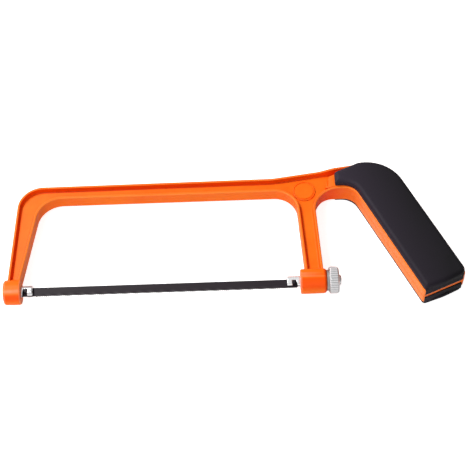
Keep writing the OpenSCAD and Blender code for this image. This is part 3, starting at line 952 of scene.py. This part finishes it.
nut = {"ridges": 34, "depth": 0.38, "sharpness": 1.6, "stepsPerRidge": 12, "bore": 3.06,
       "bevels": (0.6, 0.9), "face": (4.6, 4.3, 0.35), "socket": 2.0, "faceLevel": 0.4}


def makeNut():
    # Straight knurl: between ridges the rim's radius dips by depth (0.5 - 0.5 cos)^sharpness, and
    # stays under each row's own radius. The rim mask is the height above the groove's bottom, which
    # paints shade into the grooves.
    low, high = np.array(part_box("thumb_nut"))
    x0, x1 = (low[0] - sawOrigin[0]) * 1000, (high[0] - sawOrigin[0]) * 1000
    crest, bore, socket = (high[1] - low[1]) * 500, nut["bore"], nut["socket"]
    (front, back), (outer, inner, sunk) = nut["bevels"], nut["face"]
    profile = roundedProfile([
        [bore, x0 + socket, 0], [bore, x0, 0.2], [crest - front, x0, 0.15], [crest, x0 + front, 0.15],
        [crest, x1 - back, 0.2], [crest - back, x1, 0.25], [outer, x1, 0.2], [inner, x1 - sunk, 0.15],
        [bore, x1 - sunk, 0.25], [bore, x1 - socket, 0]], 3)

    def knurled(radius, angle, along):
        wave = 0.5 - 0.5 * np.cos(nut["ridges"] * angle)
        return np.minimum(radius, crest - nut["depth"] * wave ** nut["sharpness"])

    steps = nut["ridges"] * nut["stepsPerRidge"]
    points, faces = spinProfile(profile, steps, "x", closedProfile=True, radiusAt=knurled)
    fromAxis = np.hypot(points[:, 1], points[:, 2])
    height = np.clip((fromAxis - crest + nut["depth"]) / nut["depth"], 0, 1)
    makePiece("knurledNut", points, faces, nutMetal, "nut_steel", "nut", replaces=["thumb_nut"],
              rim=np.where(fromAxis > crest - 1.0, height, nut["faceLevel"]))


makeNut()

pinSpacing, pinDrops = 150.0, (0.7, 1.55)  # the front and rear pins' distances below the stud axis
blade = {"high": 5.9, "thick": 0.65, "tail": 2.0, "tailBevel": 0.6, "perInch": 24.0, "toothShare": 0.55,
         "toothPlan": (0.0, 0.02, 0.25, 0.6), "toothRise": (0.0, 0.02, 1.0, 1.0), "firstTooth": 6.3,
         "set": 0.2, "setTeeth": 6, "setFade": 6.0, "backBevel": (0.12, 0.1), "toothBevel": (0.08, 0.03),
         "rootHigh": 0.4, "blendHigh": 1.6, "worn": 0.55}


def makeBlade():
    # A twelve-sided section carried along the blade: its lower edge follows the teeth, and near that edge it
    # sways from side to side in a long sine wave, which is the set
    pitch, bevel = 25.4 / blade["perInch"], blade["tailBevel"]
    toothHigh, half, t = blade["toothShare"] * pitch, blade["high"] / 2, blade["thick"] / 2
    first, last, tail = blade["firstTooth"], pinSpacing - blade["firstTooth"], blade["tail"]
    count = int((last - first) // pitch)
    teeth = (first + pitch * (np.arange(count)[:, None] + np.array(blade["toothPlan"]))).ravel()
    x = np.r_[-tail, bevel - tail, first - 1.0, teeth, last + 0.5,
              pinSpacing + tail - bevel, pinSpacing + tail]
    gullet = np.tile(blade["toothRise"], count) * toothHigh
    low = np.r_[[toothHigh] * 3, gullet, [toothHigh] * 3] - half
    high = np.full(len(x), half)
    high[[0, -1]] -= bevel
    inTeeth = fade(x, first, blade["setFade"]) * fade(x, last, -blade["setFade"])
    sway = blade["set"] * np.sin(2 * np.pi * x / (blade["setTeeth"] * pitch)) * inTeeth
    root = np.full(len(x), toothHigh + blade["rootHigh"] - half)
    blend = np.full(len(x), toothHigh + blade["blendHigh"] - half)
    (backIn, backDown), (toothIn, toothUp) = blade["backBevel"], blade["toothBevel"]
    nearSide = [(high, t - backIn, 0.0), (high - backDown, t, 0.0), (blend, t, 0.0), (root, t, 0.6),
                (low + toothUp, t, 1.0), (low, t - toothIn, 1.0)]
    ring = nearSide + [(y, -z, share) for y, z, share in nearSide[::-1]]
    section = np.stack([np.c_[x, y, z + sway * share] for y, z, share in ring], 1)
    n, k = section.shape[:2]
    tilt = -np.arctan((pinDrops[1] - pinDrops[0]) / pinSpacing)
    c, s = np.cos(tilt), np.sin(tilt)
    x, y, z = section.reshape(-1, 3).T
    rim = np.zeros((n, k))
    rim[3:-3, 4:8] = blade["worn"]
    faces = gridFaces(n, k) + [list(range(k))[::-1], list(range((n - 1) * k, n * k))]
    points = np.c_[x * c - y * s, x * s + y * c - pinDrops[0], z]
    makePiece("toothedBlade", points, faces, bladeBlack, "blade_black", "blade", replaces=["saw_blade"],
              rim=rim, flat=True)


makeBlade()
print("nut and blade ready")

# Studs: local x runs from the pin towards the blade's middle, and sign turns it into the saw's x
stud = {"radius": 3.1, "slotHalf": 0.55, "slotTop": 2.45, "reach": 3.8, "edge": 0.2, "pinHalf": 0.9,
        "lipSlant": 6.0, "backSlant": 17.0, "notchRound": 0.55, "step": 0.45, "narrow": 0.15,
        "tipDrop": 0.35, "topShine": 0.3}
# shine is the level of the painted reflection: the front stud is painted darker than the tension stud
frontStud = {"at": 0.0, "sign": 1, "root": -2.75, "from": -10.9, "pinDrop": pinDrops[0], "backGap": 0.3,
             "shine": 0.62}
tensionStud = {"at": pinSpacing, "sign": -1, "root": -3.5, "from": -15.6, "pinDrop": pinDrops[1],
               "backGap": 0.52, "shine": 1.0, "thread": 3.0, "pitch": 1.0, "threadDepth": 0.28,
               "threadFrom": -24.6, "threadEnd": -26.7}


def studProng(place):
    # Half of the forked end, on the +z side of the blade's slot: a slice of the round bar with
    # the pin's notch cut up into it. The top follows sqrt(r^2 - y^2), and falls by a square over
    # the last half millimetre.
    r, low, e, step = stud["radius"], stud["slotHalf"], stud["edge"], stud["step"]
    root, tip, half, notch = place["root"], stud["reach"], r - stud["narrow"], stud["notchRound"]
    pinY, top = -place["pinDrop"], stud["pinHalf"] - place["pinDrop"] + 0.08
    lipSlant, backSlant = np.tan(np.radians([stud["lipSlant"], stud["backSlant"]]))

    def lipAt(y):
        # The hook's face, which leans in under the pin
        return stud["pinHalf"] + 0.06 - (pinY - y) * lipSlant

    def backAt(y):
        # The notch's other face, which leans away below
        return 0.1 - stud["pinHalf"] - place["backGap"] - (top - y) * backSlant

    def crown(xy):
        fall = stud["tipDrop"] * fade(xy[:, 0], tip - 0.5, 0.5) ** 2
        return np.sqrt(np.maximum(r * r - xy[:, 1] ** 2, low * low)) - fall

    corners = [[root, half, 0.1], [tip, half, 0.5], [tip, -half, 0.5], [lipAt(-half), -half, 0.25],
               [lipAt(top), top, notch], [backAt(top), top, notch], [backAt(-half), -half, 0.1],
               [root, -half, 0.05]]
    rows = []
    for inset, drop in ((e, 0.0), (e * 0.3, e * 0.3), (0.0, e)):
        loop = cornerLoop(corners, inset, 10.0, step)
        rows.append(loopRow(loop, np.maximum(crown(loop) - drop, low + 0.02)))
    rows.append(loopRow(loop, low))
    gx, gy = np.meshgrid(np.arange(root, tip, step), np.arange(-half, half, step))
    inner = np.c_[gx.ravel(), gy.ravel()]
    inner = inner[insideLoop(inner, cornerLoop(corners, e + 0.15, 10.0, step))]
    n, last = len(loop), (len(rows) - 1) * len(loop)
    lookUp = np.r_[np.arange(n), np.arange(len(inner)) + last + n]
    upper = lookUp[fillLoops([rows[0][:, :2]], inner)]
    lower = fillLoops([loop])[:, ::-1] + last
    points = np.concatenate([*rows, loopRow(inner, crown(inner))])
    return points, gridFaces(4, n) + upper.tolist() + lower.tolist()


def studBridge(place):
    # Strip of the bar left over the blade's slot, with the same round top
    half, low = stud["slotHalf"] + 0.06, stud["slotTop"]
    z = np.linspace(-half, half, 5)
    ring = np.r_[np.c_[np.sqrt(stud["radius"] ** 2 - z ** 2), z], [[low, half], [low, -half]]]
    k = len(ring)
    points = np.concatenate([np.c_[np.full(k, x), ring] for x in (place["root"], stud["reach"] - 0.35)])
    return points, gridFaces(2, k) + [list(range(k))[::-1], list(range(k, 2 * k))]


def studShank(place):
    # Plain bar, or with a thread: a tail whose radius dips in a triangle wave of x / pitch - turn, the helix
    r, root, start = stud["radius"], place["root"], place["from"]
    shoulder = [[0, root + 0.15], [r - 0.05, root + 0.15], [r, root + 0.1]]
    if "thread" not in place:
        profile = [*shoulder, [r, start + 0.5], [r - 0.5, start], [0, start]]
        return spinProfile(profile[::-1], 64, "x")
    thread, threadFrom, end = place["thread"], place["threadFrom"], place["threadEnd"]
    profile = np.r_[shoulder, [[r, start], [thread, start - 0.1], [thread, threadFrom]],
                    np.c_[np.full(22, thread), np.linspace(threadFrom - 0.1, end + 0.5, 22)],
                    [[thread - 0.5, end], [1.5, end], [1.1, end + 0.5], [0, end + 0.5]]]

    def threaded(radius, angle, along):
        turn = (along / place["pitch"] - angle / (2 * np.pi)) % 1.0
        inThread = (along < threadFrom) & (along > end + 0.2) & (radius > thread - 0.01)
        return radius - place["threadDepth"] * (1 - np.abs(2 * turn - 1)) * inThread

    return spinProfile(profile[::-1], 64, "x", radiusAt=threaded)


def makeStud(name, node, body, place):
    # Fork, bridge and shank in one mesh. The rim mask is the metal's shine, a painted reflection, lower
    # on the top strip as painted shade, and in the thread it is the height above the groove's bottom, which
    # paints shade into the grooves; the tail's end is painted dark, as shade.
    near, nearFaces = studProng(place)
    points, faces = joinParts([(near, nearFaces), (near * [1, 1, -1], turnedFaces(nearFaces)),
                               studBridge(place), studShank(place)])
    onTop = (points[:, 0] > place["root"]) & (points[:, 1] > stud["slotTop"] - 0.6)
    shine = np.where(onTop, stud["topShine"], place["shine"])
    if "thread" in place:
        fromAxis, depth = np.hypot(points[:, 1], points[:, 2]), place["threadDepth"]
        height = np.clip((fromAxis - place["thread"] + depth) / depth, 0.1, 1)
        shine = np.where(points[:, 0] < place["threadFrom"], height, shine)
        shine = np.where(points[:, 0] < place["threadEnd"] + 0.55, (fromAxis >= 1.6) * 0.1, shine)
    makePiece(name, points * [place["sign"], 1, 1] + [place["at"], 0, 0],
              faces if place["sign"] > 0 else turnedFaces(faces), studMetal, "plated_steel", body,
              replaces=[node], rim=shine)


makeStud("frontStudFork", "front_stud", "frame", frontStud)
makeStud("tensionStudFork", "tension_stud", "tensioner", tensionStud)
print("studs ready")

# Solids that keep their own shape
for nodeName, nodeMaterial in (("thrust_washer", washerMetal), ("front_blade_pin", bladeBlack),
                               ("rear_blade_pin", bladeBlack)):
    slots = frame["nodes"][nodeName].data.materials
    slots.clear()
    slots.append(nodeMaterial)

print("scene ready")
